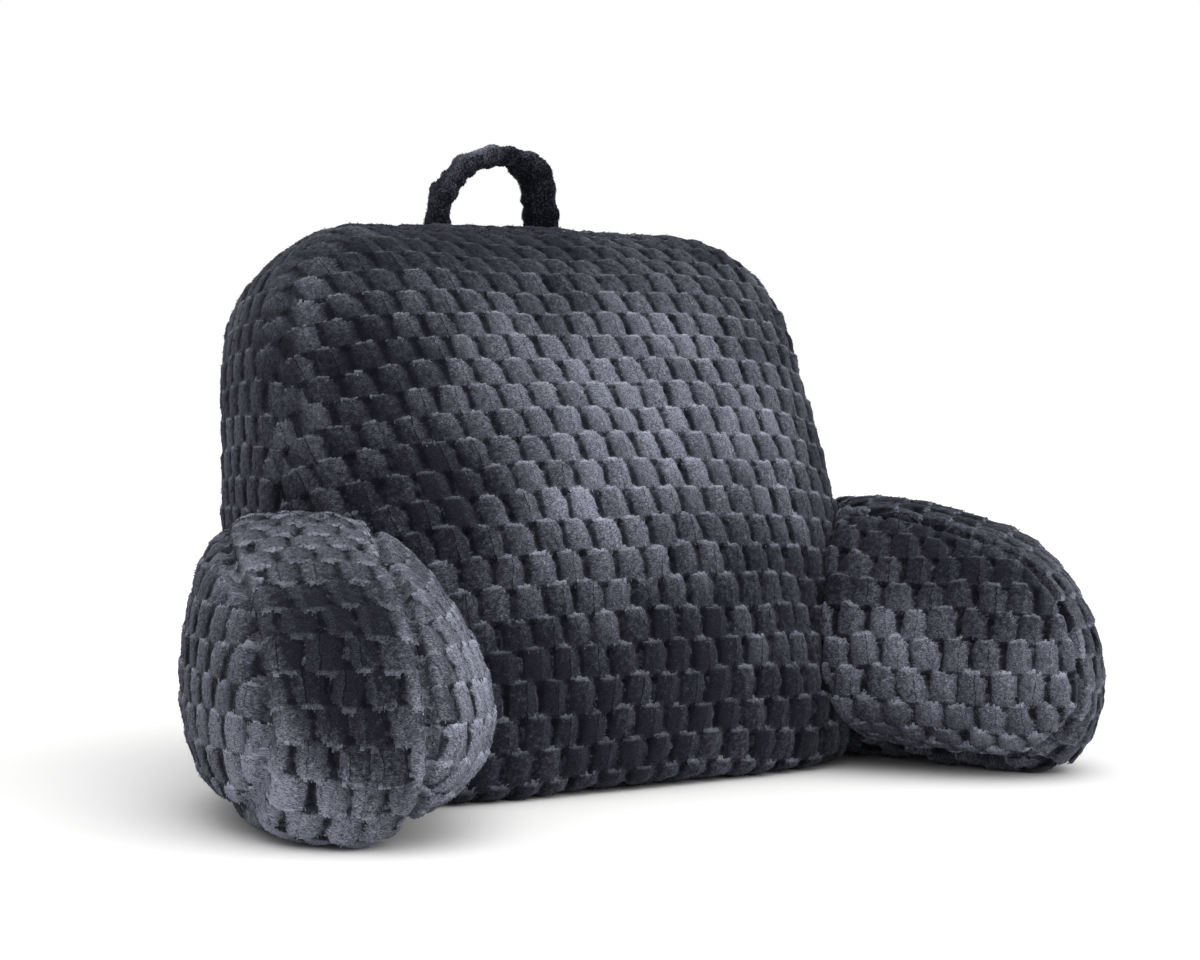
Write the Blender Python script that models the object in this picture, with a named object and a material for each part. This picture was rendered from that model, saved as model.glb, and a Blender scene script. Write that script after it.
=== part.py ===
"""Reading pillow with arms.

A wedge-shaped back cushion stands on its base. An arm cushion is sewn to each side of it, and a
padded carry strap is sewn into its top gusset. Each cushion is a boxed one: two facing panels, a
gusset strip between them, and seams that are drawn in between the crowns. X is across, -Y is the
way the sitter faces, and Z is up. The pillow stands on Z = 0, with the origin under the middle
of its box.
"""

import math

import bpy
import numpy as np
from mathutils import Matrix

# Back cushion: the seam outline of its facing panels, in metres.
BACK_BASE_WIDTH = 0.428
BACK_MIDDLE_WIDTH = 0.500
BACK_TOP_WIDTH = 0.468
BACK_MIDDLE_SHARE = 0.45  # how far up the widest place is
BACK_SEAM_HEIGHT = 0.448
BACK_TOP_RADIUS = 0.086
BACK_BASE_RADIUS = 0.040
BACK_SIDE_RADIUS = 0.300
BACK_TOP_ARCH = 0.003  # how much the middle of the top seam stands above its ends
BACK_FRONT_SEAM_Y = -0.185  # front seam at the floor
BACK_FRONT_LEAN = 0.288  # how far the front seam goes back for each metre up
BACK_FRONT_CURVE = 0.056  # and what is added to that for each metre squared
BACK_REAR_SEAM_Y = 0.086
BACK_REAR_LEAN = 0.100
BACK_REAR_SHRINK = 0.150  # how much smaller the rear panel is than the front one
BACK_FRONT_CROWN = 0.078
BACK_REAR_CROWN = 0.035
BACK_GUSSET_BULGE = 0.020
BACK_FLOOR_SINK = 0.013  # how much of the bulge at the base is pressed flat
BELLY_HEIGHT = 0.203  # the height at which the panels are fullest

# Arm cushion: its side outline is drawn in (forward, up), from a root inside the back cushion.
ARM_ROOT_X = 0.222
ARM_ROOT_Y = -0.068
ARM_SPLAY = math.radians(39.6)  # how far each arm turns outwards at its root
ARM_BEND = -1.073  # how far the tip curves back inwards, for each metre squared
ARM_REACH = 0.265
ARM_TOE = 0.016  # how much further forward the foot of the tip reaches than its top
ARM_ROOT_BACK = 0.050
ARM_ROOT_HEIGHT = 0.216
ARM_TIP_HEIGHT = 0.174
ARM_SEAM_LIFT = 0.026  # height of the lower seams before the base is pressed flat
ARM_GUSSET_WIDTH = 0.108
ARM_GUSSET_SAG = 0.021  # how much more it bulges straight underneath
ARM_GUSSET_BULGE = 0.010
ARM_INNER_CROWN = 0.082
ARM_OUTER_CROWN = 0.032
ARM_INNER_SLUMP = 0.25  # how much fuller the foot of the inner panel is, and its top flatter
ARM_FLOOR_SINK = 0.008
ARM_TIP_RADIUS = 0.106
ARM_TOP_RADIUS = 0.200
ARM_FOOT_RADIUS = 0.056
ARM_ROOT_RADIUS = 0.045
ARM_FULLEST_SHARE = 0.45  # how far along and up the arm its panels are fullest

# Carry strap: a soft, flattened tube in a standing loop, its line given above the back's top.
STRAP_WIDTH = 0.040
STRAP_THICKNESS = 0.022
STRAP_SETBACK = 0.086  # how far behind the top of the front seam its middle stands
STRAP_SUNK = 0.026  # how far each end goes down, past the gusset's own surface
STRAP_FOOT_SPAN = 0.104  # between the middles of its two ends
STRAP_RISE = 0.059
STRAP_LINE = (  # shares of half the span, and of the rise
    (-1.00, 0.15),
    (-0.97, 0.34),
    (-0.76, 0.60),
    (-0.48, 0.83),
    (-0.14, 0.95),
    (0.24, 1.00),
    (0.60, 0.97),
    (0.83, 0.87),
    (0.95, 0.68),
    (0.99, 0.40),
)
STRAP_FLATNESS = 0.6  # below 1, its broad faces are flatter than an ellipse's
STRAP_EDGE_FLATNESS = 0.8
STRAP_LINE_STEPS = 8
STRAP_STATIONS = 30
STRAP_SIDES = 14

# Stuffed forms: powers of the panels' and gussets' profiles.
DOME_POWER = 2.019
DOME_ROOT = 0.620
GUSSET_ROOT = 0.65  # below 1, a gusset is fuller beside its seams than a sine
SQUARENESS_POWER = 1.5  # how late a panel's rings turn from an ellipse into its seam's shape
SAG_POWER = 1.5

SEAM_GAP = 0.0005  # between solids that meet
CORNER_STEPS = 17
BACK_STEPS_ROUND = 88
ARM_STEPS_ROUND = 64
PANEL_RINGS = (0.16, 0.34, 0.52, 0.68, 0.81, 0.91, 0.975, 1.0)
GUSSET_RINGS = (0.08, 0.24, 0.50, 0.76, 0.92, 1.0)

PLUSH_COLOUR = (0.060, 0.064, 0.085)
PLUSH_ROUGHNESS = 0.95


def make_material(name, colour, roughness):
    material = bpy.data.materials.new(name)
    material.use_nodes = True
    shader = material.node_tree.nodes["Principled BSDF"]
    shader.inputs["Base Color"].default_value = (*colour, 1.0)
    shader.inputs["Roughness"].default_value = roughness
    shader.inputs["Metallic"].default_value = 0.0
    return material


def corner_arc(before, corner, after, radius):
    """The points of an arc of that radius, in place of the corner between two sides."""
    to_before = (before - corner) / np.linalg.norm(before - corner)
    to_after = (after - corner) / np.linalg.norm(after - corner)
    half = math.acos(np.clip(to_before @ to_after, -1, 1)) / 2
    middle = (to_before + to_after) / np.linalg.norm(to_before + to_after)
    centre = corner + middle * radius / math.sin(half)
    start = corner + to_before * radius / math.tan(half) - centre
    end = corner + to_after * radius / math.tan(half) - centre
    sweep = math.pi - 2 * half
    points = []
    for share in np.linspace(0, 1, CORNER_STEPS):
        start_weight = math.sin((1 - share) * sweep) / math.sin(sweep)
        end_weight = math.sin(share * sweep) / math.sin(sweep)
        points.append(centre + start * start_weight + end * end_weight)
    return points


def spread_evenly(line, count, closed):
    """That many points at equal steps along a line."""
    if closed:
        line = np.vstack((line, line[:1]))
    steps = np.linalg.norm(np.diff(line, axis=0), axis=1)
    length = np.concatenate(([0], np.cumsum(steps)))
    wanted = np.linspace(0, length[-1], count, endpoint=not closed)
    return np.column_stack([np.interp(wanted, length, line[:, axis]) for axis in (0, 1)])


def rounded_outline(corners, count):
    """Even points round a polygon of (across, up, radius) rows, anticlockwise, each corner an arc."""
    line = []
    for index, (across, up, radius) in enumerate(corners):
        before = np.array(corners[index - 1][:2])
        after = np.array(corners[(index + 1) % len(corners)][:2])
        line += corner_arc(before, np.array((across, up)), after, radius)
    return spread_evenly(np.array(line), count, closed=True)


def outward(outline):
    """Unit normals of a closed outline that runs anticlockwise."""
    along = np.roll(outline, -1, axis=0) - np.roll(outline, 1, axis=0)
    normal = np.column_stack((along[:, 1], -along[:, 0]))
    return normal / np.linalg.norm(normal, axis=1, keepdims=True)


def dome(ring):
    """Height of a stuffed panel, from 1 in the middle to 0 at its seam, steep beside the seam."""
    return (1 - ring**DOME_POWER) ** DOME_ROOT


def panel_ring(outline, middle, ring):
    """A ring of a panel, round like an ellipse near its middle and like its seam at the edge."""
    spoke = outline - middle
    half = np.where(spoke > 0, spoke.max(axis=0), -spoke.min(axis=0))
    to_ellipse = 1 / np.linalg.norm(spoke / half, axis=1, keepdims=True)
    squareness = ring**SQUARENESS_POWER
    return middle + spoke * ring * (squareness + (1 - squareness) * to_ellipse)


def boxed_rings(outline, middle, near, far, bulge, sag=0.0, shrink=0.0):
    """The (across, up, depth) points of a boxed cushion: a pole, a stack of rings and a pole.

    near and far give the depth of the two panels from a place on the panel and its ring. The
    gusset stands out by the bulge, and underneath by the sag as well. The far panel's seam is
    smaller than the near one's by the shrink.
    """
    middle = np.array(middle)
    normal = outward(outline)
    fullness = bulge + sag * np.maximum(-normal[:, 1:], 0) ** SAG_POWER
    far_outline = middle + (outline - middle) * (1 - shrink)
    rings = []
    for ring in PANEL_RINGS:
        flat = panel_ring(outline, middle, ring)
        rings.append(np.column_stack((flat, near(flat, ring))))
    for share in GUSSET_RINGS:
        swell = normal * fullness * math.sin(math.pi * share) ** GUSSET_ROOT
        flat = outline * (1 - share) + far_outline * share + swell
        depth = near(outline, 1.0) * (1 - share) + far(far_outline, 1.0) * share
        rings.append(np.column_stack((flat, depth)))
    for ring in reversed(PANEL_RINGS[:-1]):
        flat = panel_ring(far_outline, middle, ring)
        rings.append(np.column_stack((flat, far(flat, ring))))
    near_pole = np.array((*middle, near(middle[None], 0.0)[0]))
    far_pole = np.array((*middle, far(middle[None], 0.0)[0]))
    return [near_pole[None], *rings, far_pole[None]]


def press_flat(points, sink):
    """Presses what would hang under the floor flat onto it, the base sunk by that much."""
    points[:, 2] = np.maximum(points[:, 2] - sink, 0)
    return points


def closed_mesh(name, rings):
    """One closed body from a stack of rings whose first and last are single points."""
    count = len(rings[1])
    top = 1 + (len(rings) - 3) * count
    end = top + count
    faces = []
    for k in range(count):
        following = (k + 1) % count
        faces.append((0, 1 + k, 1 + following))
        for low in range(1, top, count):
            high = low + count
            faces.append((low + k, high + k, high + following))
            faces.append((low + k, high + following, low + following))
        faces.append((top + k, end, top + following))
    mesh = bpy.data.meshes.new(name)
    mesh.from_pydata(np.vstack(rings).tolist(), [], faces)
    mesh.update()
    return mesh


def add_object(mesh, material):
    thing = bpy.data.objects.new(mesh.name, mesh)
    bpy.context.collection.objects.link(thing)
    mesh.materials.append(material)
    mesh.shade_smooth()
    return thing


def back_cushion(material):
    half_base = BACK_BASE_WIDTH / 2
    half_middle = BACK_MIDDLE_WIDTH / 2
    half_top = BACK_TOP_WIDTH / 2
    middle_up = BACK_SEAM_HEIGHT * BACK_MIDDLE_SHARE
    corners = (
        (-half_base, 0.0, BACK_BASE_RADIUS),
        (half_base, 0.0, BACK_BASE_RADIUS),
        (half_middle, middle_up, BACK_SIDE_RADIUS),
        (half_top, BACK_SEAM_HEIGHT, BACK_TOP_RADIUS),
        (-half_top, BACK_SEAM_HEIGHT, BACK_TOP_RADIUS),
        (-half_middle, middle_up, BACK_SIDE_RADIUS),
    )
    outline = rounded_outline(corners, BACK_STEPS_ROUND)
    share_up = outline[:, 1] / BACK_SEAM_HEIGHT
    outline[:, 1] -= BACK_TOP_ARCH * share_up**2 * (outline[:, 0] / half_top) ** 2

    def front(flat, ring):
        up = flat[:, 1]
        seam = BACK_FRONT_SEAM_Y + BACK_FRONT_LEAN * up + BACK_FRONT_CURVE * up**2
        return seam - BACK_FRONT_CROWN * dome(ring)

    def rear(flat, ring):
        return BACK_REAR_SEAM_Y + BACK_REAR_LEAN * flat[:, 1] + BACK_REAR_CROWN * dome(ring)

    middle = (0.0, BELLY_HEIGHT)
    rings = boxed_rings(
        outline, middle, front, rear, BACK_GUSSET_BULGE, shrink=BACK_REAR_SHRINK
    )
    placed = [press_flat(ring[:, (0, 2, 1)], BACK_FLOOR_SINK) for ring in rings]
    return add_object(closed_mesh("back_cushion", placed), material)


def arm_cushion(name, side, material):
    """side is 1 for the arm at +X and -1 for its mirror image."""
    corners = (
        (-ARM_ROOT_BACK, ARM_SEAM_LIFT, ARM_ROOT_RADIUS),
        (ARM_REACH + ARM_TOE, ARM_SEAM_LIFT, ARM_FOOT_RADIUS),
        (ARM_REACH, ARM_TIP_HEIGHT, ARM_TIP_RADIUS),
        (ARM_REACH * ARM_FULLEST_SHARE, ARM_ROOT_HEIGHT, ARM_TOP_RADIUS),
        (-ARM_ROOT_BACK, ARM_ROOT_HEIGHT, ARM_ROOT_RADIUS),
    )
    outline = rounded_outline(corners, ARM_STEPS_ROUND)
    middle = (ARM_REACH * ARM_FULLEST_SHARE, ARM_ROOT_HEIGHT * ARM_FULLEST_SHARE)

    def inner(flat, ring):
        fullness = 1 + ARM_INNER_SLUMP * (1 - 2 * flat[:, 1] / ARM_ROOT_HEIGHT)
        return -ARM_GUSSET_WIDTH / 2 - ARM_INNER_CROWN * dome(ring) * fullness

    def outer(flat, ring):
        return np.full(len(flat), ARM_GUSSET_WIDTH / 2 + ARM_OUTER_CROWN * dome(ring))

    forward = np.array((math.sin(ARM_SPLAY), -math.cos(ARM_SPLAY), 0.0))
    sideways = np.array((math.cos(ARM_SPLAY), math.sin(ARM_SPLAY), 0.0))
    root = np.array((ARM_ROOT_X, ARM_ROOT_Y, 0.0))

    def place(local):
        bend = ARM_BEND * np.maximum(local[:, :1], 0) ** 2
        placed = root + local[:, :1] * forward + (local[:, 2:] + bend) * sideways
        placed[:, 2] += local[:, 1]
        placed[:, 0] *= side
        return press_flat(placed, ARM_FLOOR_SINK)

    rings = boxed_rings(outline, middle, inner, outer, ARM_GUSSET_BULGE, sag=ARM_GUSSET_SAG)
    mesh = closed_mesh(name, [place(ring) for ring in rings])
    if side < 0:
        mesh.flip_normals()
    return add_object(mesh, material)


def smooth_line(points, steps):
    """A Catmull-Rom curve through the points, with that many steps between each two."""
    ends = (points[0] * 2 - points[1], points[-1] * 2 - points[-2])
    padded = np.vstack((ends[0], points, ends[1]))
    line = []
    for k in range(len(points) - 1):
        a, b, c, d = padded[k : k + 4]
        for share in np.arange(steps) / steps:
            cubic = (3 * b - 3 * c + d - a) * share**3
            square = (2 * a - 5 * b + 4 * c - d) * share**2
            line.append((2 * b + (c - a) * share + square + cubic) / 2)
    return np.array(line + [points[-1]])


def rounded(value, flatness):
    """A sine or cosine raised to a power, its sign kept."""
    return math.copysign(abs(value) ** flatness, value)


def carry_strap(back, material):
    """A flattened tube along an uneven arch, its ends standing in the back's top gusset."""
    top = max(vertex.co.z for vertex in back.data.vertices)
    middle_y = BACK_FRONT_SEAM_Y + BACK_FRONT_LEAN * BACK_SEAM_HEIGHT + STRAP_SETBACK
    half = STRAP_FOOT_SPAN / 2
    arch = [(across * half, up * STRAP_RISE) for across, up in STRAP_LINE]
    through = np.array([(-half, -STRAP_SUNK), *arch, (half, -STRAP_SUNK)])
    line = spread_evenly(smooth_line(through, STRAP_LINE_STEPS), STRAP_STATIONS, closed=False)
    along = np.gradient(line, axis=0)
    along /= np.linalg.norm(along, axis=1, keepdims=True)
    rings = []
    for (across, up), (run, climb) in zip(line, along):
        ring = []
        for k in range(STRAP_SIDES):
            turn = math.tau * k / STRAP_SIDES
            wide = rounded(math.cos(turn), STRAP_FLATNESS) * STRAP_WIDTH / 2
            thick = rounded(math.sin(turn), STRAP_EDGE_FLATNESS) * STRAP_THICKNESS / 2
            ring.append((across - climb * thick, middle_y + wide, top + up + run * thick))
        rings.append(np.array(ring))
    rings = [rings[0].mean(axis=0)[None], *rings, rings[-1].mean(axis=0)[None]]
    return add_object(closed_mesh("carry_strap", rings), material)


def grown_copy(thing, distance):
    """A hidden cutter: a copy of the object, larger by that distance all round."""
    mesh = thing.data.copy()
    normals = [vertex.normal.copy() for vertex in mesh.vertices]
    for vertex, normal in zip(mesh.vertices, normals):
        vertex.co += normal * distance
    cutter = bpy.data.objects.new(thing.name + "_cutter", mesh)
    bpy.context.collection.objects.link(cutter)
    cutter.hide_render = True
    cutter.display_type = "WIRE"
    return cutter


def cut_away(thing, cutter):
    cut = thing.modifiers.new("meets_the_back", "BOOLEAN")
    cut.operation = "DIFFERENCE"
    cut.solver = "EXACT"
    cut.object = cutter


def centre_over_origin(things):
    """Moves all the meshes together, so that the middle of their box is over the origin."""
    points = np.array([vertex.co for thing in things for vertex in thing.data.vertices])
    middle = (points.min(axis=0) + points.max(axis=0)) / 2
    for thing in things:
        thing.data.transform(Matrix.Translation((-middle[0], -middle[1], 0.0)))


def main():
    for thing in list(bpy.data.objects):
        bpy.data.objects.remove(thing, do_unlink=True)
    plush = make_material("charcoal_plush", PLUSH_COLOUR, PLUSH_ROUGHNESS)
    back = back_cushion(plush)
    sewn_on = (
        arm_cushion("arm_left", -1, plush),
        arm_cushion("arm_right", 1, plush),
        carry_strap(back, plush),
    )
    cutter = grown_copy(back, SEAM_GAP)
    for thing in sewn_on:
        cut_away(thing, cutter)
    centre_over_origin((back, cutter, *sewn_on))


main()
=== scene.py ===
import math

import bpy
import numpy as np
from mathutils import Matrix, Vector
from mathutils.bvhtree import BVHTree


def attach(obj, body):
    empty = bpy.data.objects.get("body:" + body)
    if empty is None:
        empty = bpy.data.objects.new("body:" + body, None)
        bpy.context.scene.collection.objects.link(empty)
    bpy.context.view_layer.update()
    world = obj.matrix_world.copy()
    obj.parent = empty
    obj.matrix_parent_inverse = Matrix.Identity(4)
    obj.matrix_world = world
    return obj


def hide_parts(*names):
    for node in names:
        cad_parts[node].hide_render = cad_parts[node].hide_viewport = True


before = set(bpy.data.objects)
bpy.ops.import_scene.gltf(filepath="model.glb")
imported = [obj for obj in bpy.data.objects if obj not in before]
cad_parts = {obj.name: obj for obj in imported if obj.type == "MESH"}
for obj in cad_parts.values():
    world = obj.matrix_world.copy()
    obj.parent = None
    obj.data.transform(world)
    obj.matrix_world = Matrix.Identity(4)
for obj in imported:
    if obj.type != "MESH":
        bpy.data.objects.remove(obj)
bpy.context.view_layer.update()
scene = bpy.context.scene
print("frame loaded:", ", ".join(sorted(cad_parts)))

overFloor = 0.0004  # how far everything stays above the floor


def addObject(name, data):
    added = bpy.data.objects.new(name, data)
    scene.collection.objects.link(added)
    return added


def deselectAll():
    bpy.ops.object.select_all(action="DESELECT")


def pick(piece):
    deselectAll()
    piece.select_set(True)
    bpy.context.view_layer.objects.active = piece


def voxelRemesh(piece, voxel):
    remesh = piece.modifiers.new("remesh", "REMESH")
    remesh.mode = "VOXEL"
    remesh.voxel_size = voxel
    bpy.ops.object.modifier_apply(modifier=remesh.name)


def softenSurface(piece, rounds):
    soften = piece.modifiers.new("soften", "SMOOTH")
    soften.factor = 0.5
    soften.iterations = rounds
    bpy.ops.object.modifier_apply(modifier=soften.name)


def smoothStep(share):
    share = np.clip(share, 0, 1)
    return share * share * (3 - 2 * share)


# 1 at no distance, fading to nothing past the reach.
def fadeOut(distance, reach):
    return np.exp(-((distance / reach) ** 2))


waves = {
    "count": 5,
    "turn": 2.4,  # radians from one wave to the next
    "shortest": 0.70,  # their lengths, as shares of the wavelength
    "longer": 0.15,
    "start": 1.7,
    "height": 3,  # what their sum is divided by
}


# Crossing waves of slightly different lengths, which add up to soft uneven lumps.
def ripple(across, up, wavelength, seed):
    total = np.zeros(across.shape)
    for k in range(waves["count"]):
        turn = waves["turn"] * k + seed
        run = across * math.cos(turn) + up * math.sin(turn)
        length = wavelength * (waves["shortest"] + waves["longer"] * k)
        total += np.sin(run * math.tau / length + waves["start"] * k * seed + k)
    return total / waves["height"]


def lumpy(points, wavelength, seed):
    first = ripple(points[:, 0], points[:, 2], wavelength, seed)
    return (first + ripple(points[:, 1], points[:, 2] + points[:, 0], wavelength, seed + 5)) / 2


def readVertices(mesh, field="co"):
    flat = np.empty(len(mesh.vertices) * 3)
    if field == "co":
        mesh.vertices.foreach_get("co", flat)
    else:
        mesh.vertex_normals.foreach_get("vector", flat)
    return flat.reshape(-1, 3)


def writeVertices(mesh, points):
    mesh.vertices.foreach_set("co", points.astype(np.float32).ravel())
    mesh.update()


def readTriangles(mesh):
    mesh.calc_loop_triangles()
    triangles = np.empty(len(mesh.loop_triangles) * 3, int)
    mesh.loop_triangles.foreach_get("vertices", triangles)
    return triangles.reshape(-1, 3)


def readFaces(mesh, field, size):
    flat = np.empty(len(mesh.polygons) * size)
    mesh.polygons.foreach_get(field, flat)
    return flat.reshape(-1, size) if size > 1 else flat


# How many corners each face has, its first corner, and the vertex at each corner.
def readCorners(mesh):
    sides = readFaces(mesh, "loop_total", 1).astype(int)
    vertexOf = np.empty(len(mesh.loops), int)
    mesh.loops.foreach_get("vertex_index", vertexOf)
    return sides, np.concatenate(([0], np.cumsum(sides)[:-1])), vertexOf


def writeAttribute(mesh, name, values):
    attribute = mesh.attributes.new(name, "FLOAT", "POINT")
    attribute.data.foreach_set("value", values.astype(np.float32))


def writeLayer(mesh, name, places):
    layer = mesh.uv_layers.new(name=name)
    layer.uv.foreach_set("vector", places.astype(np.float32).ravel())


def unit(vectors):
    return vectors / np.maximum(np.linalg.norm(vectors, axis=1, keepdims=True), 1e-9)


cameraView = {
    "azimuth": -34.16,
    "elevation": 2.30,
    "distance": 2.088,
    "target": (0.0, -0.0093, 0.22),
    "lens": 79.34,
    "shift": (0.0060, 0.0160),
}


def aimed(thing, azimuth, elevation, distance, target):
    turn = math.radians(azimuth)
    tilt = math.radians(elevation)
    back = Vector((math.sin(turn) * math.cos(tilt), -math.cos(turn) * math.cos(tilt), math.sin(tilt)))
    thing.location = Vector(target) + back * distance
    thing.rotation_euler = (-back).to_track_quat("-Z", "Y").to_euler()


def addCamera():
    lens = bpy.data.cameras.new("studioCamera")
    lens.lens = cameraView["lens"]
    lens.shift_x, lens.shift_y = cameraView["shift"]
    holder = addObject("studioCamera", lens)
    place = (cameraView[name] for name in ("azimuth", "elevation", "distance", "target"))
    aimed(holder, *place)
    scene.camera = holder


studio = {
    "lamps": (
        # name, azimuth, elevation, softness in degrees, strength, colour
        ("keyLight", 10, 52, 80, 1.9, (1.0, 0.99, 0.97)),
        ("topLight", -60, 78, 80, 0.9, (1.0, 1.0, 1.0)),
        ("rightFill", 62, 20, 40, 0.45, (1.0, 1.0, 1.0)),
    ),
    "lampDistance": 3.0,
    "lampTarget": (0, 0, 0.2),
    "roomLight": 0.56,
    "white": (1, 1, 1, 1),
    "floorSize": 30,
    "floorColour": (0.92, 0.92, 0.92, 1),
    "floorRoughness": 0.8,
}


def addStudio():
    for name, azimuth, elevation, softness, strength, tint in studio["lamps"]:
        lamp = bpy.data.lights.new(name, "SUN")
        lamp.angle = math.radians(softness)
        lamp.energy = strength
        lamp.color = tint
        aimed(addObject(name, lamp), azimuth, elevation, studio["lampDistance"], studio["lampTarget"])
    world = bpy.data.worlds.new("whiteStudio")
    world.use_nodes = True
    tree = world.node_tree
    plain = tree.nodes["Background"]
    plain.inputs["Color"].default_value = studio["white"]
    plain.inputs["Strength"].default_value = studio["roomLight"]
    seen = newNode(tree, "ShaderNodeBackground", (0, -200))  # what the camera sees is plain white
    seen.inputs["Strength"].default_value = 1.0
    seen.inputs["Color"].default_value = studio["white"]
    path = newNode(tree, "ShaderNodeLightPath", (-200, 200))
    both = newNode(tree, "ShaderNodeMixShader", (300, 0))
    tree.links.new(path.outputs["Is Camera Ray"], both.inputs[0])
    tree.links.new(plain.outputs[0], both.inputs[1])
    tree.links.new(seen.outputs[0], both.inputs[2])
    tree.links.new(both.outputs[0], tree.nodes["World Output"].inputs["Surface"])
    scene.world = world
    scene.view_settings.view_transform = "Standard"


def addFloor():
    deselectAll()
    bpy.ops.mesh.primitive_plane_add(size=studio["floorSize"], location=(0, 0, 0))
    floor = bpy.context.active_object
    floor.name = "studio_floor"
    material = bpy.data.materials.new("paleFloor")
    material.use_nodes = True
    shader = material.node_tree.nodes["Principled BSDF"]
    shader.inputs["Base Color"].default_value = studio["floorColour"]
    shader.inputs["Roughness"].default_value = studio["floorRoughness"]
    floor.data.materials.append(material)


def newNode(tree, kind, place, **values):
    node = tree.nodes.new(kind)
    node.location = place
    for name, value in values.items():
        setattr(node, name, value)
    return node


def mathNode(tree, operation, first, second=0.0, third=0.0, clamp=False):
    node = tree.nodes.new("ShaderNodeMath")
    node.operation = operation
    node.use_clamp = clamp
    for socket, value in zip(node.inputs, (first, second, third)):
        if isinstance(value, bpy.types.NodeSocket):
            tree.links.new(value, socket)
        else:
            socket.default_value = value
    return node.outputs[0]


def smoothNode(tree, value, end):
    node = newNode(tree, "ShaderNodeMapRange", (0, 0), interpolation_type="SMOOTHSTEP")
    node.inputs["From Max"].default_value = end
    tree.links.new(value, node.inputs["Value"])
    return node.outputs["Result"]


def noiseNode(tree, vector, scale, detail):
    noise = newNode(tree, "ShaderNodeTexNoise", (-1000, -100))
    noise.inputs["Scale"].default_value = scale
    noise.inputs["Detail"].default_value = detail
    noise.inputs["Roughness"].default_value = plushFinish["noiseRoughness"]
    tree.links.new(vector, noise.inputs["Vector"])
    return noise.outputs["Fac"]


def attributeNode(tree, name, place):
    return newNode(tree, "ShaderNodeAttribute", place, attribute_name=name).outputs["Fac"]


plushFinish = {
    "dark": (0.0045, 0.0052, 0.0085, 1.0),
    "light": (0.265, 0.275, 0.345, 1.0),
    "paintedShine": (0.42, 0.44, 0.53, 1.0),  # painted highlight along the top edges
    "contrast": 1.75,  # above 1 keeps the light colour for the brightest pile
    "darkest": 0.13,
    "body": 0.52,  # how light the pile is, from dark to light, where its tone is zero
    "brushedAndLitShare": 0.42,  # how much the tone, brushed and painted light and shade, changes it
    "clumps": 0.44,
    "clumpScale": 260.0,
    "bendScale": 110.0,  # of the noise that bends streaks and lines
    "noiseRoughness": 0.65,
    "fleck": 2.9,
    "fibresAcross": 17.0,  # streaks of pile in the width of a cell
    "fibresDown": 38.0,
    "fibreSpread": 40.0,  # sets each cell's streaks apart from the next one's
    "fibreSlant": 0.16,
    "fibreBend": 0.12,
    "fibreDetail": 1.5,
    "lipHighlight": 0.62,  # how much of the painted highlight the top edge of a cell takes
    "lipHighlightByTone": 0.38,  # and how much its tone changes that
    "lipHeight": 0.13,
    "lipGrain": (1.6, -0.25),
    "lipBreaks": (0.26, 0.20),  # where the bending noise is below this the edge is broken
    "grooveDepth": 2.9,  # up to this height over the cushion, in mm, the pile is in shadow
    "grooveLight": 0.1,
    "turnLight": 0.30,  # how much a painted light lightens a cell from its left to its right
    "puffShade": 1.4,  # how much painted shade darkens it from its middle to both sides
    "puffMiddle": 0.08,
    "sinkShade": 0.20,  # and from its top to its foot
    "sinkFrom": 0.4,
    "partingPlace": 0.18,  # right of the middle, where some cells are parted
    "partingBend": 0.14,
    "partingWidth": 0.022,
    "parting": 0.22,  # how much painted shade darkens that line
    "facetHighlight": 0.06,  # and how much a painted highlight lightens the pile right of it
    "facetWidth": 0.03,
    "sides": 0.455,  # where a cell's sides begin
    "leftShade": 0.10,  # how far in from them the painted shade reaches
    "rightShade": 0.06,
    "footEnd": 1.10,
    "footShade": 0.10,
    "edgeDark": 0.36,
    "sideLight": 0.28,  # how much a painted sheen lights one side where the pile's tone is dark
    "sideLightFrom": 0.40,
    "sideLightWidth": 0.03,
    "sideLightBreaks": (0.34, 0.22),
    "fuzz": 0.7,
    "fuzzDepth": 0.0010,
    "surface": {
        "Roughness": 0.95,
        "Sheen Weight": 0.12,
        "Sheen Roughness": 0.4,
        "Sheen Tint": (0.80, 0.85, 1.0, 1.0),
        "Specular IOR Level": 0.03,
    },
}


# Turns an amount of light pile, flecks and a painted highlight into the cloth's colour and fuzz.
def finishPlush(tree, amount, flecks, paintedShine=None):
    link = tree.links.new
    finish = plushFinish
    shader = tree.nodes["Principled BSDF"]
    shade = newNode(tree, "ShaderNodeMix", (-500, 200), data_type="RGBA")
    shade.inputs[6].default_value = finish["dark"]
    shade.inputs[7].default_value = finish["light"]
    link(mathNode(tree, "POWER", amount, finish["contrast"]), shade.inputs[0])
    colour = shade.outputs[2]
    # the painted highlight, mixed over the pile's colour
    if paintedShine:
        lit = newNode(tree, "ShaderNodeMix", (-300, 200), data_type="RGBA")
        lit.inputs[7].default_value = finish["paintedShine"]
        link(colour, lit.inputs[6])
        link(paintedShine, lit.inputs[0])
        colour = lit.outputs[2]
    link(colour, shader.inputs["Base Color"])
    for name, value in finish["surface"].items():
        shader.inputs[name].default_value = value
    fuzz = newNode(tree, "ShaderNodeBump", (-300, -150))
    fuzz.inputs["Strength"].default_value = finish["fuzz"]
    fuzz.inputs["Distance"].default_value = finish["fuzzDepth"]
    link(flecks, fuzz.inputs["Height"])
    link(fuzz.outputs["Normal"], shader.inputs["Normal"])
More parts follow.
